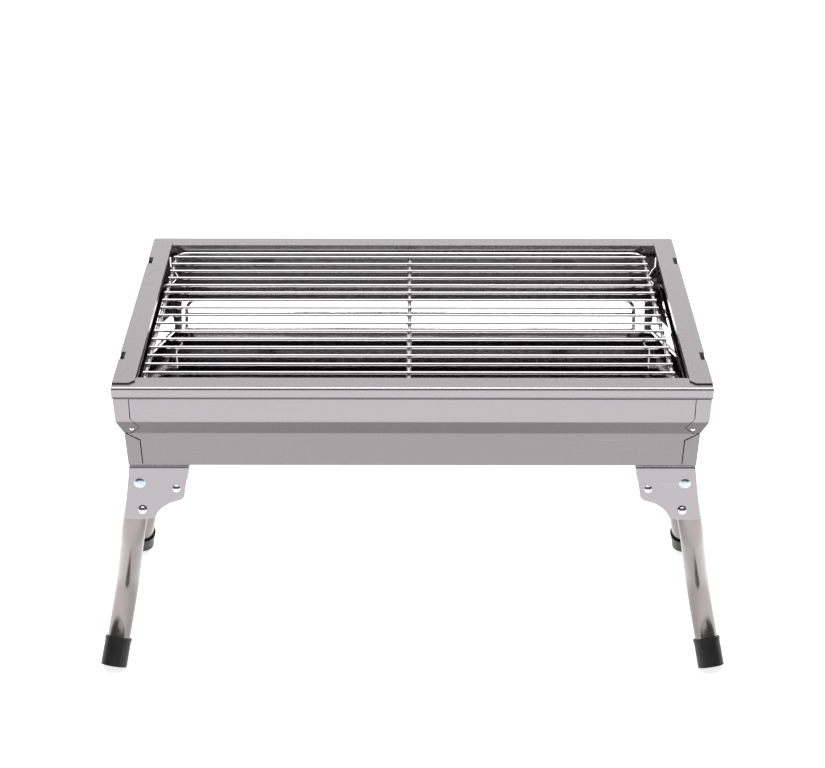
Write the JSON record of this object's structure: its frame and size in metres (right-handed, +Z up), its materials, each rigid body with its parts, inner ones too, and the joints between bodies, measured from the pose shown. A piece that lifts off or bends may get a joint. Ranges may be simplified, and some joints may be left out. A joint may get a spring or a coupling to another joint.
{
  "type": "folding camp grill",
  "caption": "Bent sheet-steel fire box with a lift-out wire grid and charcoal tray, on bowed tube legs that fold flat underneath.",
  "frame": {"origin": "centre of the footprint on the ground, under the middle of the fire box", "axes": "+X to the right along the long side, +Y from the front long side to the back one, +Z up"},
  "size_m": [0.4976, 0.265, 0.278],
  "materials": {
    "sheet_steel": "satin stainless sheet",
    "tray_steel": "mirror-bright stainless sheet",
    "grid_chrome": "bright plated wire",
    "zinc_rivets": "bright zinc plated",
    "bushes": "natural nylon",
    "polished_steel": "polished",
    "leg_steel": "fine brushed tube",
    "spring_steel": "plain spring strip",
    "foot_rubber": "semi-matt moulded"
  },
  "bodies": {
    "fire_box": {"end_panel_left": "sheet_steel", "end_panel_right": "sheet_steel", "front_panel": "sheet_steel", "back_panel": "sheet_steel", "bottom_plate": "sheet_steel", "charcoal_tray": "tray_steel", "tray_support_tabs": "sheet_steel", "panel_rivets": "sheet_steel", "bracket_rivets": "sheet_steel", "bracket_fl": "sheet_steel", "bracket_fr": "sheet_steel", "bracket_rl": "sheet_steel", "bracket_rr": "sheet_steel", "pivot_rivet_fl": "zinc_rivets", "pivot_rivet_fr": "zinc_rivets", "pivot_rivet_rl": "zinc_rivets", "pivot_rivet_rr": "zinc_rivets", "pivot_bushes_fl": "bushes", "pivot_bushes_fr": "bushes", "pivot_bushes_rl": "bushes", "pivot_bushes_rr": "bushes", "stop_rivet_fl": "polished_steel", "stop_rivet_fr": "polished_steel", "stop_rivet_rl": "polished_steel", "stop_rivet_rr": "polished_steel"},
    "grid": {"grid_frame": "grid_chrome", "grid_rods": "grid_chrome", "grid_cross_bar": "grid_chrome"},
    "leg_fl": {"leg_tube_fl": "leg_steel", "lock_spring_fl": "spring_steel", "foot_cap_fl": "foot_rubber"},
    "button_fl": {"lock_button_fl": "polished_steel"},
    "leg_fr": {"leg_tube_fr": "leg_steel", "lock_spring_fr": "spring_steel", "foot_cap_fr": "foot_rubber"},
    "button_fr": {"lock_button_fr": "polished_steel"},
    "leg_rl": {"leg_tube_rl": "leg_steel", "lock_spring_rl": "spring_steel", "foot_cap_rl": "foot_rubber"},
    "button_rl": {"lock_button_rl": "polished_steel"},
    "leg_rr": {"leg_tube_rr": "leg_steel", "lock_spring_rr": "spring_steel", "foot_cap_rr": "foot_rubber"},
    "button_rr": {"lock_button_rr": "polished_steel"}
  },
  "joints": [
    {"name": "grid_lift", "type": "slide", "parent": "fire_box", "child": "grid", "axis": [0, 0, 1], "range_m": [0, 0.1]},
    {"name": "leg_fold_fl", "type": "hinge", "parent": "fire_box", "child": "leg_fl", "pos_m": [-0.2003, -0.1132, 0.1943], "axis": [0, -1, 0], "range_deg": [0, 101.3]},
    {"name": "button_press_fl", "type": "slide", "parent": "fire_box", "child": "button_fl", "axis": [0, 1, 0], "range_m": [0, 0.001], "stiffness_N_per_m": 300, "springref_m": -0.001},
    {"name": "leg_fold_fr", "type": "hinge", "parent": "fire_box", "child": "leg_fr", "pos_m": [0.2003, -0.1132, 0.1943], "axis": [0, 1, 0], "range_deg": [0, 101.3]},
    {"name": "button_press_fr", "type": "slide", "parent": "fire_box", "child": "button_fr", "axis": [0, 1, 0], "range_m": [0, 0.001], "stiffness_N_per_m": 300, "springref_m": -0.001},
    {"name": "leg_fold_rl", "type": "hinge", "parent": "fire_box", "child": "leg_rl", "pos_m": [-0.2003, 0.1132, 0.1943], "axis": [0, -1, 0], "range_deg": [0, 101.3]},
    {"name": "button_press_rl", "type": "slide", "parent": "fire_box", "child": "button_rl", "axis": [0, -1, 0], "range_m": [0, 0.001], "stiffness_N_per_m": 300, "springref_m": -0.001},
    {"name": "leg_fold_rr", "type": "hinge", "parent": "fire_box", "child": "leg_rr", "pos_m": [0.2003, 0.1132, 0.1943], "axis": [0, 1, 0], "range_deg": [0, 101.3]},
    {"name": "button_press_rr", "type": "slide", "parent": "fire_box", "child": "button_rr", "axis": [0, -1, 0], "range_m": [0, 0.001], "stiffness_N_per_m": 300, "springref_m": -0.001}
  ]
}
